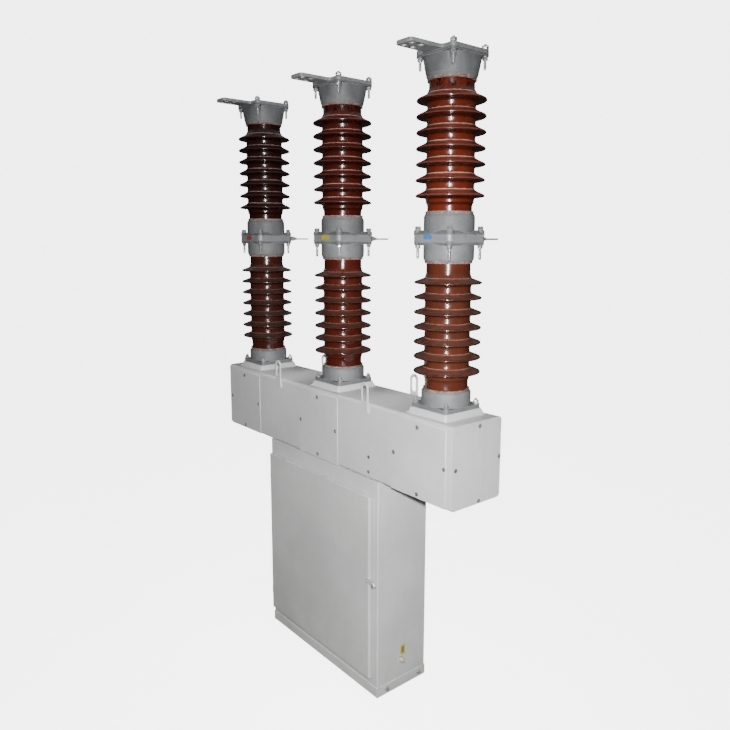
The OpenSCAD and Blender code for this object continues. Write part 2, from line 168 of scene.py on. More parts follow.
def painted_sheet(name, colour, rough=0.36, dust=0.5, wear=(0.30, 0.30, 0.29), wear_amount=0.22):
    """Powder-coated sheet: fine orange peel, faint dents, streaks, dust low down, and a painted highlight along its
    edges.
    """
    g = Graph(name)
    x, y, z = g.split()
    blotch = g.noise(2.3, 4, 0.6)
    streak = g.noise(1.0, 3, 0.6, g.stretch(38, 38, 1.6))
    run = g.noise(1.0, 2, 0.5, g.stretch(120, 120, 5.0))
    grime = g.noise(14, 6, 0.7)
    low = g.step(z, 0.55, 0.0)
    dark = tuple(c * 0.90 for c in colour)
    light = tuple(min(1, c * 1.05) for c in colour)
    col = g.mix(g.step(blotch, 0.32, 0.70), dark, light)
    col = g.mix(g.math("MULTIPLY", g.step(streak, 0.52, 0.80), 0.16), col, tuple(c * 0.72 for c in colour))
    col = g.mix(g.math("MULTIPLY", g.step(run, 0.60, 0.80), 0.08), col, (0.44, 0.40, 0.34))
    col = g.mix(g.math("MULTIPLY", g.math("MULTIPLY", low, g.step(grime, 0.35, 0.75)), dust * 0.45), col, (0.36, 0.335, 0.29))
    specks = g.step(g.cells(46), 0.05, 0.02)
    col = g.mix(g.math("MULTIPLY", specks, 0.28), col, tuple(c * 0.45 for c in colour))
    edge = g.edge(0.003)
    # painted highlight: convex edges are mixed towards near-white where the lamp would glint on the rounded corners;
    # the chips below are real wear
    col = g.mix(g.math("MULTIPLY", edge, 0.60), col, (0.93, 0.93, 0.92))
    chips = g.math("MULTIPLY", edge, g.step(g.noise(55, 3, 0.6), 0.42, 0.62))
    col = g.mix(g.math("MULTIPLY", chips, wear_amount), col, wear)
    g.set("Base Color", col)
    r = g.math("ADD", g.step(g.noise(9, 5, 0.65), 0.3, 0.7, rough - 0.01, rough + 0.06), g.math("MULTIPLY", low, 0.10))
    g.set("Roughness", r)
    g.bsdf.inputs["Specular IOR Level"].default_value = 0.55
    g.bump((g.noise(420, 2, 0.5), 0.00035, 0.35), (g.noise(5.5, 2, 0.5), 0.006, 0.10), (g.noise(60, 2, 0.5), 0.0006, 0.12))
    return g.mat


def cast_paint(name, colour, metallic=0.25, rough=0.48, grain=1.0, pads=None, spec=0.5):
    """Grey paint over a sand-cast surface: pits, lumps, small bright chips and a painted highlight along its edges.

    pads is (pole pitch, distance of the holes' middle from the axis, half the hole pitch):
    a bright, uneven ring is painted round each terminal hole as a painted highlight, and the pad is a little paler.
    """
    g = Graph(name)
    g.bsdf.inputs["Specular IOR Level"].default_value = spec
    patch = g.noise(11, 5, 0.65)
    fine = g.noise(120, 4, 0.6)
    col = g.mix(g.step(patch, 0.30, 0.72), tuple(c * 0.80 for c in colour), tuple(c * 1.16 for c in colour))
    col = g.mix(g.math("MULTIPLY", g.step(fine, 0.40, 0.75), 0.30), col, tuple(c * 0.68 for c in colour))
    lumps = g.noise(62, 4, 0.65)
    col = g.mix(g.math("MULTIPLY", g.step(lumps, 0.52, 0.74), 0.40), col, tuple(min(1, c * 1.30) for c in colour))
    col = g.mix(g.math("MULTIPLY", g.step(lumps, 0.44, 0.26), 0.35), col, tuple(c * 0.70 for c in colour))
    run = g.noise(1.0, 3, 0.6, g.stretch(55, 55, 4.0))
    col = g.mix(g.math("MULTIPLY", g.step(run, 0.56, 0.78), 0.22), col, (colour[0] * 0.80, colour[1] * 0.72, colour[2] * 0.64))
    flecks = g.step(g.cells(150), 0.10, 0.03)
    col = g.mix(g.math("MULTIPLY", flecks, g.step(g.noise(30), 0.52, 0.66)), col, tuple(min(1, c * 2.2) for c in colour))
    edge = g.edge(0.003)
    # painted highlight: edges are mixed towards a paler grey where the lamp would glint; the chips below are real wear
    col = g.mix(g.math("MULTIPLY", edge, 0.35), col, tuple(min(1, c * 2.0) for c in colour))
    chips = g.math("MULTIPLY", edge, g.step(g.noise(70, 3, 0.6), 0.40, 0.60))
    col = g.mix(g.math("MULTIPLY", chips, 0.55), col, (0.46, 0.46, 0.45))
    if pads:
        pitch, reach, half = pads
        x, y, z = g.split()
        xr = g.math("ABSOLUTE", g.math("SUBTRACT", g.math("FLOORED_MODULO", g.math("ADD", x, pitch / 2), pitch), pitch / 2))
        ya = g.math("ABSOLUTE", y)
        dx = g.math("SUBTRACT", xr, half)
        dy = g.math("SUBTRACT", g.math("ABSOLUTE", g.math("SUBTRACT", ya, reach)), half)
        dist = g.math("SQRT", g.math("ADD", g.math("MULTIPLY", dx, dx), g.math("MULTIPLY", dy, dy)))
        pale = g.math("MULTIPLY", g.step(ya, 0.165, 0.180), g.step(g.noise(48, 4, 0.6), 0.30, 0.65))
        col = g.mix(g.math("MULTIPLY", pale, 0.35), col, (0.42, 0.43, 0.43))
        # painted highlight: a bright, uneven ring round each terminal hole
        ring = g.math("MULTIPLY", g.step(dist, 0.0135, 0.0118), g.step(g.noise(110, 3, 0.6), 0.30, 0.52))
        col = g.mix(g.math("MULTIPLY", ring, 0.85), col, (0.70, 0.70, 0.69))
    g.set("Base Color", col)
    g.set("Metallic", g.step(patch, 0.3, 0.7, metallic * 0.8, min(1, metallic * 1.2)))
    g.set("Roughness", g.math("ADD", g.step(fine, 0.3, 0.75, rough - 0.06, rough + 0.08), g.math("MULTIPLY", edge, -0.05)))
    g.bump((g.noise(260, 4, 0.6), 0.0009 * grain, 0.55), (g.noise(34, 3, 0.5), 0.0022 * grain, 0.35),
           (g.step(g.cells(95), 0.12, 0.0), -0.0007 * grain, 0.35))
    return g.mat


def glazed_porcelain(name, core, line, top, rim, fillet=0.1035, run=0.5, stain=None):
    """Brown glaze over turned porcelain.

    It is darker in runs where it lies thick and its undersides are darkened as painted shade, with a pale line in the
    fillet above each shed that is partly deposit and partly a painted highlight, a dusty film on the shed's upper side
    lightened partly as painted light from above, and a rim band that is paler where the glaze is thin on the upper
    sheds and darkened as painted shade on the lower ones.
    """
    g = Graph(name)

    def t(c, k):
        return tuple(v * k for v in c)
    x, y, z = g.split()
    xr = g.math("SUBTRACT", g.math("FLOORED_MODULO", g.math("ADD", x, 0.35), 0.7), 0.35)
    r = g.math("SQRT", g.math("ADD", g.math("MULTIPLY", xr, xr), g.math("MULTIPLY", y, y)))
    up_ = g.up()
    drift = g.noise(4.5, 4, 0.6)
    mottle = g.noise(1.0, 5, 0.65, g.stretch(60, 60, 22))
    flow = g.noise(1.0, 3, 0.6, g.stretch(85, 85, 6))
    col = g.mix(g.step(drift, 0.30, 0.72), t(core, 0.84), t(core, 1.14))
    col = g.mix(g.math("MULTIPLY", g.step(mottle, 0.48, 0.80), 0.40), col, (core[0] * 1.35, core[1] * 1.7, core[2] * 1.7))
    col = g.mix(g.math("MULTIPLY", g.step(flow, 0.46, 0.26), run * 0.5), col, t(core, 0.62))
    iron = g.step(g.cells(210), 0.12, 0.05)
    col = g.mix(g.math("MULTIPLY", iron, 0.45), col, t(core, 0.40))
    # painted shade: downward-facing glaze is darkened to a sixth of its colour, where the lamp only grazes it
    col = g.mix(g.math("MULTIPLY", g.step(up_, -0.12, -0.62), 0.92), col, t(core, 0.16))
    # dusty film on each shed's upper side, its lighter colour partly painted light from above
    dust_and_top_light = g.step(g.noise(26, 5, 0.7), 0.22, 0.70, 0.35, 1.0)
    upper = g.math("MULTIPLY", g.step(up_, 0.30, 0.75), g.step(r, fillet - 0.004, fillet + 0.002))
    col = g.mix(g.math("MULTIPLY", upper, dust_and_top_light), col, top)
    # pale line in the fillet above each shed: partly deposit, partly a painted highlight
    fillet_deposit_and_highlight = g.math("MULTIPLY", g.step(up_, 0.46, 0.64), g.step(r, fillet + 0.0015, fillet - 0.0025))
    patchy = g.step(g.noise(38, 4, 0.65), 0.20, 0.62, 0.30, 1.0)
    col = g.mix(g.math("MULTIPLY", fillet_deposit_and_highlight, patchy), col, line)
    # rim band: paler where the glaze is thin on the upper sheds; on the lower sheds its darker colour is painted shade
    edge = g.math("MULTIPLY", g.math("MULTIPLY", g.step(r, 0.1285, 0.1350), g.step(up_, -0.55, 0.0)), g.step(g.noise(34, 4, 0.6), 0.25, 0.62, 0.35, 1.0))
    col = g.mix(edge, col, rim)
    if stain:
        low = g.math("MULTIPLY", g.step(z, stain - 0.046, stain - 0.030), g.step(up_, 0.45, 0.30))
        splash = g.noise(1.0, 4, 0.7, g.stretch(62, 62, 34))
        col = g.mix(g.math("MULTIPLY", g.math("MULTIPLY", g.step(splash, 0.50, 0.57), low), 0.93), col, t(core, 0.14))
        col = g.mix(g.math("MULTIPLY", g.math("MULTIPLY", g.step(splash, 0.40, 0.32), low), 0.6), col, (core[0] * 1.5, core[1] * 2.4, core[2] * 2.6))
    g.set("Base Color", col)
    soft = g.math("MULTIPLY", g.math("MAXIMUM", upper, fillet_deposit_and_highlight), 0.16)
    g.set("Roughness", g.math("ADD", g.step(g.noise(18, 4, 0.6), 0.3, 0.75, 0.17, 0.25), soft))
    g.bsdf.inputs["Specular IOR Level"].default_value = 0.55
    g.bsdf.inputs["Coat Weight"].default_value = 0.55
    g.bsdf.inputs["Coat Roughness"].default_value = 0.09
    g.bump((g.noise(1.0, 3, 0.5, g.stretch(22, 22, 40)), 0.0010, 0.20), (g.noise(1.0, 2, 0.5, g.stretch(14, 14, 330)), 0.00030, 0.20),
           (g.noise(230, 2, 0.5), 0.00022, 0.14))
    return g.mat


def cement(name):
    g = Graph(name)
    patch = g.noise(24, 6, 0.7)
    col = g.mix(g.step(patch, 0.3, 0.72), (0.105, 0.070, 0.062), (0.235, 0.168, 0.152))
    sand = g.step(g.cells(330), 0.30, 0.10)
    col = g.mix(g.math("MULTIPLY", sand, 0.45), col, (0.115, 0.092, 0.086))
    blobs = g.noise(1.0, 4, 0.7, g.stretch(90, 90, 160))
    col = g.mix(g.math("MULTIPLY", g.step(blobs, 0.56, 0.68), 0.75), col, (0.42, 0.33, 0.31))
    col = g.mix(g.math("MULTIPLY", g.step(blobs, 0.46, 0.36), 0.75), col, (0.105, 0.026, 0.018))
    g.set("Base Color", col)
    g.set("Roughness", g.step(patch, 0.3, 0.7, 0.80, 0.95))
    g.bump((g.noise(300, 5, 0.7), 0.0016, 0.8), (g.noise(45, 3, 0.5), 0.003, 0.4))
    return g.mat


def zinc(name, colour=(0.52, 0.53, 0.52), rough=0.34, metallic=0.92):
    """Zinc plate: faint spangle, rubbed edges and dull white bloom."""
    g = Graph(name)
    spangle = g.cells(120, out="Color")
    tone = g.math("MULTIPLY", g.split(spangle)[0], 0.35)
    col = g.mix(tone, tuple(c * 0.86 for c in colour), tuple(min(1, c * 1.18) for c in colour))
    bloom = g.step(g.noise(38, 5, 0.7), 0.52, 0.78)
    col = g.mix(g.math("MULTIPLY", bloom, 0.5), col, (0.34, 0.33, 0.31))
    rust = g.step(g.noise(85, 4, 0.65), 0.68, 0.82)
    col = g.mix(g.math("MULTIPLY", rust, 0.35), col, (0.16, 0.075, 0.032))
    edge = g.edge(0.0012)
    col = g.mix(g.math("MULTIPLY", edge, 0.4), col, (0.74, 0.74, 0.72))
    g.set("Base Color", col)
    g.set("Metallic", g.math("SUBTRACT", metallic, g.math("MULTIPLY", bloom, metallic * 0.5)))
    g.set("Roughness", g.math("ADD", g.math("MULTIPLY", bloom, 0.28), g.step(g.noise(160, 3, 0.6), 0.3, 0.7, rough - 0.05, rough + 0.07)))
    g.bump((g.noise(520, 3, 0.6), 0.0002, 0.4), (bloom, 0.0002, 0.5))
    return g.mat


def enamel(name, colour, shade, rough=0.33, patch_scale=60):
    g = Graph(name)
    n = g.noise(patch_scale, 5, 0.65)
    col = g.mix(g.step(n, 0.30, 0.72), shade, colour)
    scratch = g.step(g.noise(1.0, 3, 0.6, g.stretch(320, 320, 60)), 0.66, 0.74)
    col = g.mix(g.math("MULTIPLY", scratch, 0.4), col, tuple(c * 0.45 + 0.1 for c in colour))
    edge = g.edge(0.0010)
    col = g.mix(g.math("MULTIPLY", edge, 0.35), col, tuple(c * 0.5 for c in colour))
    g.set("Base Color", col)
    g.set("Roughness", g.step(n, 0.3, 0.7, rough, rough + 0.16))
    g.bump((g.noise(600, 2, 0.5), 0.00015, 0.35), (scratch, -0.00015, 0.4))
    return g.mat


GREY = (0.60, 0.605, 0.598)
M = {
    "light_grey_paint": painted_sheet("light_grey_paint", GREY),
    "door_paint": painted_sheet("door_paint", (0.595, 0.597, 0.588), rough=0.40, dust=0.5),
    "plinth_paint": painted_sheet("plinth_paint", (0.66, 0.665, 0.655), rough=0.44, dust=0.7, wear_amount=0.6),
    "seat_paint": painted_sheet("seat_paint", (0.62, 0.63, 0.62), rough=0.34, wear_amount=0.5),
    "lug_paint": painted_sheet("lug_paint", (0.58, 0.585, 0.58), rough=0.36, wear=(0.38, 0.36, 0.33), wear_amount=0.8),
    "grey_casting": cast_paint("grey_casting", (0.155, 0.160, 0.163), metallic=0.06, rough=0.56),
    "terminal_metal": cast_paint("terminal_metal", (0.235, 0.243, 0.249), metallic=0.10, rough=0.42, grain=0.4, pads=(0.7, 0.212, 0.022), spec=1.0),
    "brown_glaze": glazed_porcelain("brown_glaze", (0.054, 0.0082, 0.0042), (0.160, 0.072, 0.052), (0.130, 0.056, 0.040), (0.080, 0.0240, 0.016)),
    "cement": cement("cement"),
    "zinc_plated_steel": zinc("zinc_plated_steel", (0.66, 0.67, 0.66), 0.30, metallic=0.78),
    # painted shade: a darker copy of grey_casting for the upper castings, standing in for the lamp's falloff towards
    # the top
    "cast_paint_shaded_upper": cast_paint("cast_paint_shaded_upper", (0.128, 0.133, 0.136), metallic=0.06, rough=0.62),
    "dark_screw": zinc("dark_screw", (0.21, 0.21, 0.207), 0.36, metallic=0.60),
    "dull_zinc": zinc("dull_zinc", (0.50, 0.51, 0.51), 0.32, metallic=0.80),
    "latch_metal": zinc("latch_metal", (0.66, 0.665, 0.65), 0.40, metallic=0.15),
    "brass_fitting": zinc("brass_fitting", (0.66, 0.62, 0.50), 0.38, metallic=0.25),
    "yellow_plate": enamel("yellow_plate", (0.62, 0.53, 0.16), (0.48, 0.41, 0.11)),
    "olive_mark": enamel("olive_mark", (0.26, 0.235, 0.045), (0.19, 0.17, 0.03), 0.42, 90),
    "rubber": enamel("rubber", (0.085, 0.087, 0.088), (0.060, 0.061, 0.062), 0.62, 120),
    "sealant": enamel("sealant", (0.60, 0.60, 0.585), (0.50, 0.50, 0.485), 0.40, 70),
    "blue_mark": enamel("blue_mark", (0.040, 0.165, 0.40), (0.05, 0.13, 0.29), 0.42, 90),
    "yellow_mark": enamel("yellow_mark", (0.46, 0.37, 0.045), (0.34, 0.28, 0.05), 0.42, 90),
    "red_mark": enamel("red_mark", (0.30, 0.060, 0.055), (0.22, 0.050, 0.045), 0.42, 90),
}
top_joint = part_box("upper_porcelain_c")[1].z
# lit and shaded copies of one glaze: each pole's colours are brighter on the near pole c and darker on the far pole a,
# painted light and shade standing in for the lamp's falloff
GLAZE_SHADED_BY_POLE = {
    ("upper", "a"): glazed_porcelain("brown_glaze_ua", (0.019, 0.0040, 0.0026), (0.34, 0.265, 0.246), (0.038, 0.0125, 0.0095), (0.026, 0.0075, 0.005), stain=top_joint),
    ("upper", "b"): glazed_porcelain("brown_glaze_ub", (0.044, 0.0056, 0.0030), (0.56, 0.255, 0.215), (0.092, 0.0200, 0.0125), (0.060, 0.0120, 0.008), stain=top_joint),
    ("upper", "c"): glazed_porcelain("brown_glaze_uc", (0.086, 0.0125, 0.0052), (0.66, 0.345, 0.270), (0.200, 0.055, 0.036), (0.110, 0.0280, 0.018), stain=top_joint),
    ("lower", "a"): glazed_porcelain("brown_glaze_la", (0.040, 0.0090, 0.0060), (0.140, 0.086, 0.066), (0.080, 0.043, 0.034), (0.022, 0.0100, 0.008), fillet=0.1005),
    ("lower", "b"): glazed_porcelain("brown_glaze_lb", (0.055, 0.0086, 0.0046), (0.180, 0.086, 0.062), (0.100, 0.040, 0.027), (0.030, 0.0100, 0.007), fillet=0.1005),
    ("lower", "c"): glazed_porcelain("brown_glaze_lc", (0.066, 0.0170, 0.0090), (0.225, 0.108, 0.077), (0.106, 0.044, 0.031), (0.038, 0.0130, 0.009), fillet=0.1005),
}

slot_of = {s["node"]: s["material_slot"] for s in frame["record"]["subparts"]}


def shading_group(name, angle=32.0, outer=None):
    """Joins split corners and shades smoothly across edges flatter than angle.

    outer is (axis, limit): edges beyond that distance from the origin also get a bevel weight.
    """
    g = bpy.data.node_groups.new(name, "GeometryNodeTree")
    g.interface.new_socket("Geometry", in_out="INPUT", socket_type="NodeSocketGeometry")
    g.interface.new_socket("Geometry", in_out="OUTPUT", socket_type="NodeSocketGeometry")
    add, link = g.nodes.new, g.links.new
    last = add("NodeGroupInput").outputs[0]
    for attribute in ("custom_normal", "sharp_edge", "sharp_face"):
        n = add("GeometryNodeRemoveAttribute")
        n.inputs["Name"].default_value = attribute
        link(last, n.inputs[0])
        last = n.outputs[0]
    n = add("GeometryNodeMergeByDistance")
    n.inputs["Distance"].default_value = 2e-6
    link(last, n.inputs[0])
    smooth = add("GeometryNodeSetShadeSmooth")
    smooth.domain = "FACE"
    smooth.inputs["Shade Smooth"].default_value = True
    link(n.outputs[0], smooth.inputs[0])
    bend = add("GeometryNodeInputMeshEdgeAngle")
    sharp = add("FunctionNodeCompare")
    sharp.data_type, sharp.operation = "FLOAT", "GREATER_THAN"
    link(bend.outputs[0], sharp.inputs[0])
    sharp.inputs[1].default_value = math.radians(angle)
    crease = add("GeometryNodeSetShadeSmooth")
    crease.domain = "EDGE"
    crease.inputs["Shade Smooth"].default_value = False
    link(smooth.outputs[0], crease.inputs[0])
    link(sharp.outputs[0], crease.inputs["Selection"])
    last = crease.outputs[0]
    if outer:
        axis, limit = outer
        parts = add("ShaderNodeSeparateXYZ")
        link(add("GeometryNodeInputPosition").outputs[0], parts.inputs[0])
        away = add("ShaderNodeMath")
        away.operation = "ABSOLUTE"
        link(parts.outputs[axis], away.inputs[0])
        far = add("ShaderNodeMath")
        far.operation = "GREATER_THAN"
        link(away.outputs[0], far.inputs[0])
        far.inputs[1].default_value = limit
        both = add("ShaderNodeMath")
        both.operation = "MULTIPLY"
        link(far.outputs[0], both.inputs[0])
        link(sharp.outputs[0], both.inputs[1])
        weight = add("GeometryNodeStoreNamedAttribute")
        weight.domain, weight.data_type = "EDGE", "FLOAT"
        weight.inputs["Name"].default_value = "bevel_weight_edge"
        link(last, weight.inputs[0])
        link(both.outputs[0], weight.inputs["Value"])
        last = weight.outputs[0]
    link(last, add("NodeGroupOutput").inputs[0])
    return g


SMOOTH = shading_group("smooth_shading")


def soften(ob, width=0.0, group=None, segments=2, angle=32, clamp=True):
    """Smooth shading, and rounded sharp edges, for the render of a CAD node; its mesh is left as it is."""
    m = ob.modifiers.new("shading", "NODES")
    m.node_group = group or SMOOTH
    if not width:
        return
    b = ob.modifiers.new("edges", "BEVEL")
    b.width, b.segments, b.angle_limit = width, segments, math.radians(angle)
    b.limit_method = "WEIGHT" if group else "ANGLE"
    b.use_clamp_overlap = clamp
    b.harden_normals = False
    n = ob.modifiers.new("normals", "WEIGHTED_NORMAL")
    n.keep_sharp = True


SOFT = {
    "cabinet_plinth": 0.0012, "cabinet_side_left": 0.0008, "cabinet_side_right": 0.0008,
    "cabinet_back": 0.0008, "cabinet_front_frame": 0.0008, "cabinet_door": 0.0009, "latch_keeper": 0.0010,
    "earth_terminal": 0.0008, "front_lifting_lugs": 0.0016, "rear_lifting_lugs": 0.0016, "door_latch": 0.0010,
    "earth_marker_plate": 0.0003,
}
END = shading_group("end_cover_edges", outer=(0, 0.8825))
FRONT = shading_group("front_cover_edges", outer=(1, 0.1515))
for name, ob in NODES.items():
    mat = M[slot_of[name]]
    if name == "cabinet_door":
        mat = M["door_paint"]
    elif name in ("door_latch", "latch_keeper"):
        mat = M["latch_metal"]
    # the upper castings take the darker, painted-shade copy of the casting paint
    elif name.startswith(("mid_upper_casting", "top_casting")):
        mat = M["cast_paint_shaded_upper"]
    if not ob.data.materials:
        ob.data.materials.append(mat)
    for s in ob.material_slots:
        s.material = mat
    if name == "beam_end_covers":
        soften(ob, 0.0042, END, 4)
    elif name == "beam_front_covers":
        soften(ob, 0.0022, FRONT, 3)
    elif name.startswith("top_terminal"):
        soften(ob, 0.0028, segments=3, clamp=False)
    elif name.startswith("mid_terminal"):
        soften(ob, 0.0016, segments=3, clamp=False)
    else:
        soften(ob, SOFT.get(name, 0.0))


# ---------------------------------------------------------------- mesh tools

class Builder:
    """Collects many small shapes into one mesh piece."""

    def __init__(self):
        self.v, self.f = [], []

    def add(self, verts, faces, mat=None):
        k = len(self.v)
        self.v += [tuple(mat @ Vector(p)) if mat else tuple(p) for p in verts]
        self.f += [tuple(i + k for i in f) for f in faces]

    def rings(self, rings, mat=None, cap=True):
        """Closed rings of equal length joined in order."""
        n = len(rings[0])
        verts = [p for r in rings for p in r]
        faces = []
        for i in range(len(rings) - 1):
            for j in range(n):
                a, b = i * n + j, i * n + (j + 1) % n
                faces.append((a, b, b + n, a + n))
        if cap:
            faces.append(tuple(reversed(range(n))))
            faces.append(tuple(range((len(rings) - 1) * n, len(rings) * n)))
        self.add(verts, faces, mat)

    def lathe(self, profile, n=24, mat=None):
        """profile is (radius, z) from bottom to top."""
        self.rings([[(r * math.cos(2 * math.pi * j / n), r * math.sin(2 * math.pi * j / n), z) for j in range(n)] for r, z in profile], mat)

    def piece(self, name, slot, body="body", mat=None, sharp=34):
        me = bpy.data.meshes.new(name)
        me.from_pydata(self.v, [], self.f)
        bm = bmesh.new()
        bm.from_mesh(me)
        bmesh.ops.recalc_face_normals(bm, faces=bm.faces)
        bm.to_mesh(me)
        bm.free()
        me.polygons.foreach_set("use_smooth", [True] * len(me.polygons))
        me.set_sharp_from_angle(angle=math.radians(sharp))
        ob = bpy.data.objects.new(name, me)
        scene.collection.objects.link(ob)
        me.materials.append(mat or M[slot])
        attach(ob, body)
        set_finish(ob, slot)
        return ob


scene = bpy.context.scene


def place(x, y, z, axis="Z", turn=0.0):
    """A matrix that puts local +Z along axis at a point."""
    r = {"Z": Matrix.Identity(4), "-Z": Matrix.Rotation(math.pi, 4, "X"), "X": Matrix.Rotation(math.pi / 2, 4, "Y"),
         "-X": Matrix.Rotation(-math.pi / 2, 4, "Y"), "-Y": Matrix.Rotation(math.pi / 2, 4, "X"),
         "Y": Matrix.Rotation(-math.pi / 2, 4, "X")}[axis]
    return Matrix.Translation((x, y, z)) @ r @ Matrix.Rotation(turn, 4, "Z")


def hex_ring(af, z, grow=1.0, round_=0.0):
    """24 points of a hexagon of width af across flats; round_ 1 makes it a circle of the flats' radius."""
    out = []
    for i in range(24):
        a = 2 * math.pi * i / 24
        k = (a % (math.pi / 3)) - math.pi / 6
        r = af / 2 / math.cos(k)
        r = r * (1 - round_) + af / 2 * round_
        out.append((r * grow * math.cos(a), r * grow * math.sin(a), z))
    return out


def hex_nut(b, m, af=0.024, h=0.013, bore=0.0):
    """A nut or bolt head from z 0 to h with chamfered corners."""
    c = h * 0.16
    b.rings([hex_ring(af, 0, 0.985, 0.75), hex_ring(af, c * 0.5, 1.0, 0.25), hex_ring(af, c, 1.0, 0.0),
             hex_ring(af, h - c, 1.0, 0.0), hex_ring(af, h - c * 0.5, 1.0, 0.25), hex_ring(af, h, 0.985, 0.80),
             hex_ring(af, h, 0.80, 1.0)], m)


def washer(b, m, r=0.015, h=0.003):
    b.lathe([(r - 0.0006, 0), (r, 0.0005), (r, h - 0.0006), (r - 0.0006, h)], 28, m)


def thread(b, m, r, z0, z1, pitch=0.002, n=20):
    """A stud's threaded end from z0 to z1, with a chamfered tip."""
    prof = [(r * 0.92, z0)]
    z = z0 + pitch / 2
    while z < z1 - 0.0035:
        prof += [(r, z - pitch * 0.18), (r, z + pitch * 0.10), (r * 0.885, z + pitch * 0.45)]
        z += pitch
    prof += [(r * 0.97, z1 - 0.0028), (r * 0.80, z1 - 0.0004), (r * 0.74, z1)]
    b.lathe(prof, n, m)


# ---------------------------------------------------------------- porcelain

def shed_line(tip, u, n, core=0.089, rim=0.1371):
    """The outline of one shed from the fillet above it to the neck below it."""
    pts = [(1.05 * n, 23.8 + u), (1.15 * n + 0.5, 21.0 + u), (1.3 * n + 1.7, 18.3 + 0.9 * u), (1.3 * n + 4.6, 16.5 + 0.85 * u), (22, 12.4 + 0.62 * u),
           (36, 7.4 + 0.38 * u), (41.5, 5.5 + 0.28 * u), (45.4, 4.2 + 0.17 * u), (47.6, 2.3 + 0.1 * u), (48.4, 0.1),
           (47.8, -2.4), (45.6, -4.0), (41.5, -5.0), (28, -6.4), (1.4 * n + 6.8, -7.7), (1.2 * n + 3.9, -8.7), (1.2 * n + 1.8, -10.4),
           (1.17 * n + 0.9, -13.0), (1.12 * n, -17), (1.05 * n, -21), (1.01 * n, -26)]
    return [(core + x / 1000 * (rim - core) / 0.0484, tip + z / 1000) for x, z in pts]


def porcelain(name, node, px, first, u, neck, mat, seed):
    """A glazed column turned on the pole's axis; each shed is very slightly out of true."""
    lo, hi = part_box(node)
    r = random.Random(seed)
    tips = [hi.z - first - 0.0606 * k for k in range(7)]
    line = [(0.089, hi.z), (0.089, hi.z - 0.012), (0.089, tips[0] + 0.038 + u / 1000), (0.089 + neck * 0.00035, tips[0] + 0.031 + u / 1000)]
    for t in tips:
        line += shed_line(t, u, neck)
    line += [(0.089 + neck * 0.0005, tips[-1] - 0.031), (0.089, tips[-1] - 0.039), (0.089, lo.z + 0.012), (0.089, lo.z)]
    soft = [line[0]]
    for (r0, z0), (r1, z1) in zip(line, line[1:]):
        soft += [(r0 * 0.75 + r1 * 0.25, z0 * 0.75 + z1 * 0.25), (r0 * 0.25 + r1 * 0.75, z0 * 0.25 + z1 * 0.75)]
    soft.append(line[-1])
    warp = [[(r.uniform(0, 6.28), r.uniform(0.0002, 0.0006)), (r.uniform(0, 6.28), r.uniform(0.0001, 0.0003))] for _ in tips]
    n = 120
    rings = []
    for rad, z in reversed(soft):
        k = min(range(7), key=lambda i: abs(tips[i] - z))
        out = max(0.0, (rad - 0.089) / 0.048)
        ring = []
        for j in range(n):
            a = 2 * math.pi * j / n
            dz = sum(h * math.sin((m + 1) * a + ph) for m, (ph, h) in enumerate(warp[k])) * out
            rr = rad + 0.0003 * out * math.sin(3 * a + warp[k][0][0])
            ring.append((px + rr * math.cos(a), rr * math.sin(a), z + dz))
        rings.append(ring)
    b = Builder()
    b.rings(rings)
    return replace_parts(b.piece(name, "brown_glaze", mat=mat, sharp=50), node)


for i, (p, px) in enumerate(POLES.items()):
    porcelain(f"upper_glaze_{p}", f"upper_porcelain_{p}", px, 0.071, 6, 6, GLAZE_SHADED_BY_POLE["upper", p], 20 + i)
    porcelain(f"lower_glaze_{p}", f"lower_porcelain_{p}", px, 0.077, 1, 4, GLAZE_SHADED_BY_POLE["lower", p], 40 + i)


# ---------------------------------------------------------------- flange studs

top_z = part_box("top_terminal_a")[1].z
top_flange_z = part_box("top_casting_a")[1].z - 0.010
mid_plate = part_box("mid_terminal_a")
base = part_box("base_casting_a")
B = 0.088
up_flange_top = mid_plate[1].z + 0.018
low_flange_bottom = mid_plate[0].z - 0.014
base_flange_top = base[0].z + 0.018

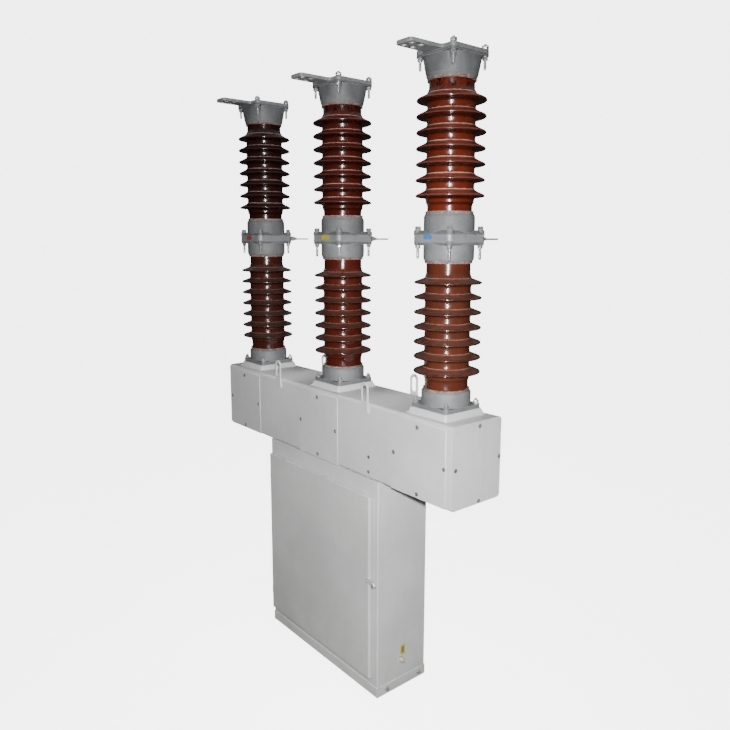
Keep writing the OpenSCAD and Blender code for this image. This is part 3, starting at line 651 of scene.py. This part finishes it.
for p, px in POLES.items():
    top, heads, mid, foot = Builder(), Builder(), Builder(), Builder()
    for i, (sx, sy) in enumerate(((-1, -1), (1, -1), (1, 1), (-1, 1))):
        x, y = px + sx * B, sy * B
        t = rng.uniform(0, math.pi)
        # top: a low bolt head above the terminal plate, its thin end below the casting's flange
        washer(top, place(x, y, top_z), 0.0135, 0.002)
        hex_nut(top, place(x, y, top_z + 0.002, turn=t), 0.024, 0.0135)
        thread(top, place(x, y, top_z + 0.0155), 0.0062, 0, 0.0055)
        washer(top, place(x, y, top_flange_z, "-Z"), 0.0115, 0.002)
        hex_nut(top, place(x, y, top_flange_z - 0.002, "-Z", t + 0.4), 0.020, 0.011)
        thread(top, place(x, y, top_flange_z - 0.013, "-Z"), 0.0056, 0, 0.037 + rng.uniform(-0.004, 0.004))
        # middle: painted bolt heads above, nuts and thin bolt ends below, each on a cast boss
        t = rng.uniform(0, math.pi)
        heads.lathe([(0.0175, -0.018), (0.0168, -0.010), (0.0158, -0.0012), (0.0146, 0.0)], 36, place(x, y, up_flange_top))
        heads.lathe([(0.0165, -0.018), (0.0156, -0.010), (0.0146, -0.0012), (0.0134, 0.0)], 36, place(x, y, low_flange_bottom, "-Z"))
        washer(heads, place(x, y, up_flange_top), 0.0130, 0.002)
        hex_nut(heads, place(x, y, up_flange_top + 0.002, turn=t), 0.021, 0.0135)
        washer(mid, place(x, y, low_flange_bottom, "-Z"), 0.0105, 0.002)
        hex_nut(mid, place(x, y, low_flange_bottom - 0.002, "-Z", t + 0.5), 0.019, 0.010)
        thread(mid, place(x, y, low_flange_bottom - 0.012, "-Z"), 0.0058, 0, 0.044 + rng.uniform(-0.004, 0.004))
        # foot: nuts on the base flange
        t = rng.uniform(0, math.pi)
        washer(foot, place(x, y, base_flange_top), 0.0125, 0.0025)
        hex_nut(foot, place(x, y, base_flange_top + 0.0025, turn=t), 0.020, 0.012)
        thread(foot, place(x, y, base_flange_top + 0.0145), 0.0062, 0, 0.008 + rng.uniform(-0.001, 0.001))
    top.piece(f"top_flange_studs_{p}", "zinc_plated_steel")
    heads.piece(f"middle_flange_heads_{p}", "grey_casting", mat=M["cast_paint_shaded_upper"])
    mid.piece(f"middle_flange_studs_{p}", "zinc_plated_steel", mat=M["dull_zinc"])
    foot.piece(f"base_flange_studs_{p}", "zinc_plated_steel")


# ---------------------------------------------------------------- phase marks

def loose(ob):
    """A painted mark has no slot in the record."""
    if "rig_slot" in ob:
        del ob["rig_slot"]
    return ob


def mark(name, px, x0, x1, z0, z1, mat, seed):
    """A brushed patch of colour on the front of a middle plate, thin and uneven at its rim."""
    r = random.Random(seed)
    y = mid_plate[0].y if mid_plate[0].y < -0.09 else -0.105
    cx, cz, w, h = (x0 + x1) / 2, (z0 + z1) / 2, (x1 - x0) / 2, (z1 - z0) / 2
    n = 64
    ph = [r.uniform(0, 6.28) for _ in range(4)]
    rim = []
    for j in range(n):
        a = 2 * math.pi * j / n
        c, s_ = math.cos(a), math.sin(a)
        k = (abs(c) ** 3.2 + abs(s_) ** 3.2) ** (-1 / 3.2)
        k *= 1 + 0.035 * math.sin(5 * a + ph[0]) + 0.03 * math.sin(9 * a + ph[1]) + 0.02 * math.sin(17 * a + ph[2])
        rim.append((w * k * c, h * k * s_))
    b = Builder()
    b.rings([[(px + cx + u * g, y - t, cz + v * g) for u, v in rim] for g, t in ((1, -0.0004), (0.99, 0.0002), (0.95, 0.00035), (0.6, 0.0004))])
    return loose(b.piece(name, "grey_casting", mat=mat, sharp=60))


mark("phase_mark_c", 0.7, -0.040, 0.011, 2.1040, 2.1260, M["blue_mark"], 3)
mark("phase_mark_b", 0.0, -0.030, 0.033, 2.1005, 2.1245, M["yellow_mark"], 4)
mark("phase_mark_a", -0.7, -0.030, 0.024, 2.0990, 2.1235, M["red_mark"], 5)


# ---------------------------------------------------------------- cover screws

def dome_screw(b, m, r=0.0065, h=0.0042):
    """A washer-faced button-head screw with a hexagon socket."""
    b.lathe([(r * 1.28, 0), (r * 1.32, 0.0004), (r * 1.30, 0.0011), (r * 1.02, 0.0013)], 24, m)
    prof = [(r, 0.0010), (r, 0.0017)]
    for k in range(1, 6):
        a = k / 6 * math.pi / 2
        prof.append((r * (0.42 + 0.58 * math.cos(a)), 0.0017 + (h - 0.0017) * math.sin(a)))
    rings = [[(q * math.cos(2 * math.pi * j / 24), q * math.sin(2 * math.pi * j / 24), z) for j in range(24)] for q, z in prof]
    rings.append(hex_ring(r * 0.62, h))
    rings.append(hex_ring(r * 0.60, h - 0.0022))
    b.rings(rings, m)


front = Builder()
cover_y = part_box("beam_front_covers")[0].y
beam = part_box("beam_housing")
for px in POLES.values():
    side = 0.1425 if px > 0.1 else 0.134
    for x, z in ((px - 0.154, 1.212), (px + side, 1.212), (px - 0.010, 1.350), (px - 0.010, 1.066)):
        dome_screw(front, place(x, cover_y, z, "-Y", rng.uniform(0, 1)), 0.0072, 0.0044)
for z in (1.146, 1.078):
    dome_screw(front, place(0.377, beam[0].y, z, "-Y", rng.uniform(0, 1)))
front.piece("front_cover_screws", "zinc_plated_steel", mat=M["dark_screw"])

ends = Builder()
end_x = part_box("beam_end_covers")[1].x
for s in (-1, 1):
    for y, z in ((0.008, 1.370), (-0.128, 1.212), (0.132, 1.221), (0.012, 1.056)):
        dome_screw(ends, place(s * end_x, y, z, "X" if s > 0 else "-X", rng.uniform(0, 1)), 0.0072, 0.0044)
ends.piece("end_cover_screws", "zinc_plated_steel", mat=M["dark_screw"])

# ---------------------------------------------------------------- beads, gasket and small fittings

def bead(b, path, radius, seed, closed=False, sides=8, step=0.005):
    """An uneven round bead laid along a path of straight runs."""
    r = random.Random(seed)
    pts = [Vector(p) for p in path] + ([Vector(path[0])] if closed else [])
    run = []
    for p, q in zip(pts, pts[1:]):
        n = max(2, int((q - p).length / step))
        run += [p.lerp(q, i / n) for i in range(n)]
    if not closed:
        run.append(pts[-1])
    total = len(run)
    ph = [r.uniform(0, 6.28) for _ in range(3)]
    rings = []
    for i, p in enumerate(run):
        a, c = (run[i - 1] if i or closed else p), (run[(i + 1) % total] if i < total - 1 or closed else p)
        along = (c - a).normalized()
        side = along.cross(Vector((0.31, 0.57, 0.76))).normalized()
        up_ = side.cross(along)
        k = radius * (1 + 0.16 * math.sin(i * 0.9 + ph[0]) + 0.10 * math.sin(i * 2.3 + ph[1]) + r.uniform(-0.06, 0.06))
        if not closed and i in (0, total - 1):
            k *= 0.55
        rings.append([p + (side * math.cos(2 * math.pi * j / sides) + up_ * math.sin(2 * math.pi * j / sides)) * k for j in range(sides)])
    if closed:
        rings.append(rings[0])
    b.rings(rings, cap=not closed)


def weld(ob):
    """Joins the ends of closed beads."""
    bm = bmesh.new()
    bm.from_mesh(ob.data)
    bmesh.ops.remove_doubles(bm, verts=bm.verts, dist=1e-6)
    bmesh.ops.recalc_face_normals(bm, faces=bm.faces)
    bm.to_mesh(ob.data)
    bm.free()
    return ob


beam_lo, beam_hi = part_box("beam_housing")
seams = Builder()
for i, px in enumerate(POLES.values()):
    w = 0.1172
    bead(seams, [(px - w, -w, beam_hi.z), (px + w, -w, beam_hi.z), (px + w, w, beam_hi.z), (px - w, w, beam_hi.z)], 0.0024, 60 + i, closed=True)
weld(seams.piece("seat_weld_beads", "seat_paint", sharp=70))

lugs = Builder()
for k, (node, y) in enumerate((("front_lifting_lugs", beam_lo.y), ("rear_lifting_lugs", beam_hi.y))):
    lo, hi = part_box(node)
    for s_ in (-1, 1):
        x0, x1 = sorted((s_ * 0.355 - 0.0245, s_ * 0.355 + 0.0245))
        top_of_weld = beam_hi.z - 0.017
        bead(lugs, [(x0, y, top_of_weld), (x0, y, lo.z), (x1, y, lo.z), (x1, y, top_of_weld)], 0.0030, 80 + k + s_, step=0.0045)
lugs.piece("lug_weld_beads", "lug_paint", sharp=70)

# sealant where the cabinet meets the beam
joint = Builder()
cab_r, cab_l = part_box("cabinet_side_right"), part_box("cabinet_side_left")
zj = beam_lo.z
bead(joint, [(cab_l[0].x, cab_l[1].y - 0.016, zj), (cab_l[0].x, cab_l[0].y + 0.004, zj)], 0.0013, 90)
bead(joint, [(cab_l[0].x + 0.006, cab_l[0].y - 0.0002, zj), (cab_r[1].x - 0.006, cab_r[0].y - 0.0002, zj)], 0.0013, 91, step=0.008)
bead(joint, [(cab_r[1].x, cab_r[0].y + 0.004, zj), (cab_r[1].x, cab_r[1].y - 0.016, zj)], 0.0013, 92)
joint.piece("cabinet_sealant", "light_grey_paint", mat=M["sealant"], sharp=70)

# rubber gasket between the door and the cabinet's front; its dark rubber also stands in for the shade in the gap round
# the door, painted shade
door_lo, door_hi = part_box("cabinet_door")
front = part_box("cabinet_front_frame")[0].y
section = [(-0.006, -0.0002), (-0.006, 0.0030), (-0.0046, 0.0048), (-0.0018, 0.0056), (0.0018, 0.0056), (0.0046, 0.0048), (0.006, 0.0030), (0.006, -0.0002)]
gx0, gx1, gz0, gz1 = door_lo.x + 0.022, door_hi.x - 0.013, door_lo.z + 0.013, door_hi.z - 0.013
seal = Builder()
corner = [(gx0, gz0, -1, -1), (gx1, gz0, 1, -1), (gx1, gz1, 1, 1), (gx0, gz1, -1, 1)]
seal_rings = [[(cx + sx * o, front - t, cz + sz * o) for o, t in section] for cx, cz, sx, sz in corner]
m = len(section)
seal.add([p for r_ in seal_rings for p in r_], [(k * m + j, k * m + (j + 1) % m, ((k + 1) % 4) * m + (j + 1) % m, ((k + 1) % 4) * m + j) for k in range(4) for j in range(m)])
loose(seal.piece("door_gasket", "light_grey_paint", mat=M["rubber"], sharp=50))

# bolts through the plinth's upstand
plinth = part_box("cabinet_plinth")
feet = Builder()
for s_ in (-1, 1):
    for y in (-0.092, 0.112):
        x = plinth[1].x * s_
        washer(feet, place(x, y, 0.025, "X" if s_ > 0 else "-X"), 0.0100, 0.0020)
        hex_nut(feet, place(x + s_ * 0.0020, y, 0.025, "X" if s_ > 0 else "-X", rng.uniform(0, 1)), 0.015, 0.0065)
feet.piece("plinth_bolts", "zinc_plated_steel", mat=M["dull_zinc"])

# screws round the back panel
rear = Builder()
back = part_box("cabinet_back")
for x in (-0.408, 0.408):
    for k in range(5):
        dome_screw(rear, place(x, back[1].y, 0.085 + k * 0.232, "Y", rng.uniform(0, 1)), 0.0055, 0.0036)
for x in (-0.2, 0.0, 0.2):
    for z in (0.085, 1.013):
        dome_screw(rear, place(x, back[1].y, z, "Y", rng.uniform(0, 1)), 0.0055, 0.0036)
rear.piece("back_panel_screws", "zinc_plated_steel")

# yellow plate: a darker plain field and two small rivets
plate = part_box("earth_marker_plate")
cy, cz = (plate[0].y + plate[1].y) / 2, (plate[0].z + plate[1].z) / 2
field = Builder()
w, h = 0.0085, 0.0165
outline = [(w * math.copysign(abs(math.cos(a)) ** 0.45, math.cos(a)), h * math.copysign(abs(math.sin(a)) ** 0.45, math.sin(a))) for a in [2 * math.pi * (j + 0.5) / 40 for j in range(40)]]
field.rings([[(plate[1].x + t, cy + u * g, cz + v * g) for u, v in outline] for g, t in ((1, -0.0004), (0.985, 0.0002), (0.9, 0.0003))])
loose(field.piece("earth_marker_field", "yellow_plate", mat=M["olive_mark"], sharp=60))
rivets = Builder()
for z in (plate[0].z + 0.005, plate[1].z - 0.005):
    rivets.lathe([(0.0024, 0), (0.0024, 0.0004), (0.0019, 0.0011), (0.0009, 0.0015)], 16, place(plate[1].x, cy, z, "X"))
rivets.piece("earth_marker_rivets", "zinc_plated_steel")

# washer and nuts on the earth stud
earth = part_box("earth_terminal")
nuts = Builder()
ey, ez, ex = -0.004, (earth[0].z + earth[1].z) / 2, earth[1].x - 0.024
washer(nuts, place(ex, ey, ez, "X"), 0.0125, 0.0022)
hex_nut(nuts, place(ex + 0.0022, ey, ez, "X", 0.3), 0.019, 0.008)
washer(nuts, place(ex + 0.0110, ey, ez, "X"), 0.0120, 0.0020)
nuts.piece("earth_nuts", "brass_fitting")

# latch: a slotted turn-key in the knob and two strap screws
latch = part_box("door_latch")
lx = door_hi.x + 0.046
key = Builder()
key.lathe([(0.0075, 0), (0.0078, 0.0006), (0.0072, 0.0016), (0.0052, 0.0020)], 28, place(lx, latch[0].y, 0.572, "-Y"))
key.rings([[(lx + u, latch[0].y - t, 0.572 + v) for u, v in ((-0.0042, -0.0011), (0.0042, -0.0011), (0.0042, 0.0011), (-0.0042, 0.0011))] for t in (0.0018, 0.0026)])
key.piece("latch_key", "zinc_plated_steel", body="door", mat=M["dull_zinc"])
strap = Builder()
for z in (0.565, 0.579):
    dome_screw(strap, place(door_hi.x - 0.012, door_lo.y if latch[0].y > door_lo.y else latch[0].y + 0.012, z, "-Y", rng.uniform(0, 1)), 0.0034, 0.0022)
strap.piece("latch_screws", "zinc_plated_steel", body="door")

# ---------------------------------------------------------------- camera

cam_data = bpy.data.cameras.new("camera")
cam_data.sensor_width, cam_data.sensor_fit = 36.0, "AUTO"
F_PX, CX, CY, SIZE = 686.44, 368.91, 347.51, 730.0
cam_data.lens = F_PX / SIZE * 36.0
cam_data.shift_x = (SIZE / 2 - CX) / SIZE
cam_data.shift_y = (CY - SIZE / 2) / SIZE
cam_data.clip_end = 200
az, pitch, roll = math.radians(50.315), math.radians(-8.949), math.radians(0.116)
fwd = Vector((-math.sin(az) * math.cos(pitch), math.cos(az) * math.cos(pitch), math.sin(pitch)))
right = Vector((math.cos(az), math.sin(az), 0))
upv = right.cross(fwd)
r2 = right * math.cos(roll) + upv * math.sin(roll)
u2 = upv * math.cos(roll) - right * math.sin(roll)
rot = Matrix((r2, u2, -fwd)).transposed().to_4x4()
cam = bpy.data.objects.new("camera", cam_data)
cam.matrix_world = Matrix.Translation((2.6437, -2.0293, 2.1043)) @ rot
scene.collection.objects.link(cam)
scene.camera = cam

# ---------------------------------------------------------------- floor and light

fg = Graph("floor_paint")
fg.set("Base Color", fg.mix(fg.step(fg.noise(0.6, 4, 0.6), 0.3, 0.7), (0.80, 0.80, 0.795), (0.84, 0.84, 0.835)))
fg.set("Roughness", fg.step(fg.noise(3, 4, 0.6), 0.3, 0.7, 0.75, 0.9))
fg.bsdf.inputs["Specular IOR Level"].default_value = 0.2
fg.bsdf.inputs["Emission Color"].default_value = (1, 1, 1, 1)
fg.bsdf.inputs["Emission Strength"].default_value = 4.75
bm = bmesh.new()
bmesh.ops.create_circle(bm, cap_ends=True, segments=96, radius=60)
fme = bpy.data.meshes.new("floor")
bm.to_mesh(fme)
bm.free()
fme.materials.append(fg.mat)
floor = bpy.data.objects.new("floor", fme)
floor.location = (0, 0, -0.0005)
floor.visible_diffuse = False
floor.visible_glossy = False
scene.collection.objects.link(floor)


def lamp(name, kind, where, at, watts, size, colour=(1, 1, 1), **props):
    d = bpy.data.lights.new(name, kind)
    d.energy, d.color = watts, colour
    if kind == "AREA":
        d.shape, d.size = "DISK", size
    else:
        d.shadow_soft_size = size
    for k, v in props.items():
        setattr(d, k, v)
    o = bpy.data.objects.new(name, d)
    o.location = where
    o.rotation_mode = "QUATERNION"
    o.rotation_quaternion = (Vector(at) - Vector(where)).to_track_quat("-Z", "Y")
    o.visible_camera = False
    scene.collection.objects.link(o)
    return o


# the main light stands just above the camera and fades towards its edge
lamp("key", "SPOT", (2.43, -1.86, 2.15), (0.15, -0.1, 1.08), 745, 0.06, spot_size=math.radians(106), spot_blend=1.0)
bpy.data.objects["key"].visible_glossy = False
strip = lamp("strip", "AREA", (2.43, -1.86, 2.10), (0.15, -0.1, 2.10), 150, 0.05)
strip.data.shape, strip.data.size, strip.data.size_y = "RECTANGLE", 0.05, 1.7
strip.visible_diffuse = False
soft_lights = [
    lamp("overhead", "AREA", (-0.2, 0.2, 5.4), (0.0, 0.0, 1.4), 1, 3.0),
    lamp("back", "SPOT", (-5.0, 5.9, 1.35), (0.0, 0.0, 1.45), 2300, 0.5, spot_size=math.radians(44), spot_blend=0.5),
    lamp("low_front", "AREA", (2.5, -2.2, 0.55), (0.25, -0.2, 0.25), 7, 1.2),
]
# a small lamp over each pole, so that its top plate isn't left black from above
for p, px in POLES.items():
    soft_lights.append(lamp(f"plate_lamp_{p}", "SPOT", (px, -0.07, top_z + 1.25), (px, -0.07, top_z), 75, 0.08,
                            spot_size=math.radians(23), spot_blend=0.4))
for o in soft_lights:
    o.visible_glossy = False

world = bpy.data.worlds.new("studio")
scene.world = world
world.use_nodes = True
wt = world.node_tree
fill = wt.nodes["Background"]
fill.inputs[0].default_value = (0.95, 0.97, 1.0, 1)
fill.inputs[1].default_value = 0.052
wall = wt.nodes.new("ShaderNodeBackground")
wall.inputs[0].default_value = (1.0, 1.0, 1.0, 1)
wall.inputs[1].default_value = 4.8
path = wt.nodes.new("ShaderNodeLightPath")
both = wt.nodes.new("ShaderNodeMixShader")
# mirrored by the glaze and paint: a dim room with a paler ceiling
room = wt.nodes.new("ShaderNodeBackground")
room.inputs[0].default_value = (0.97, 0.98, 1.0, 1)
coord = wt.nodes.new("ShaderNodeTexCoord")
parts = wt.nodes.new("ShaderNodeSeparateXYZ")
ramp = wt.nodes.new("ShaderNodeMapRange")
ramp.interpolation_type = "SMOOTHSTEP"
for key, value in (("From Min", 0.10), ("From Max", 0.75), ("To Min", 0.020), ("To Max", 0.26)):
    ramp.inputs[key].default_value = value
wt.links.new(coord.outputs["Generated"], parts.inputs[0])
wt.links.new(parts.outputs[2], ramp.inputs["Value"])
wt.links.new(ramp.outputs[0], room.inputs[1])
seen = wt.nodes.new("ShaderNodeMixShader")
wt.links.new(path.outputs["Is Glossy Ray"], seen.inputs[0])
wt.links.new(fill.outputs[0], seen.inputs[1])
wt.links.new(room.outputs[0], seen.inputs[2])
wt.links.new(path.outputs["Is Camera Ray"], both.inputs[0])
wt.links.new(seen.outputs[0], both.inputs[1])
wt.links.new(wall.outputs[0], both.inputs[2])
wt.links.new(both.outputs[0], wt.nodes["World Output"].inputs[0])
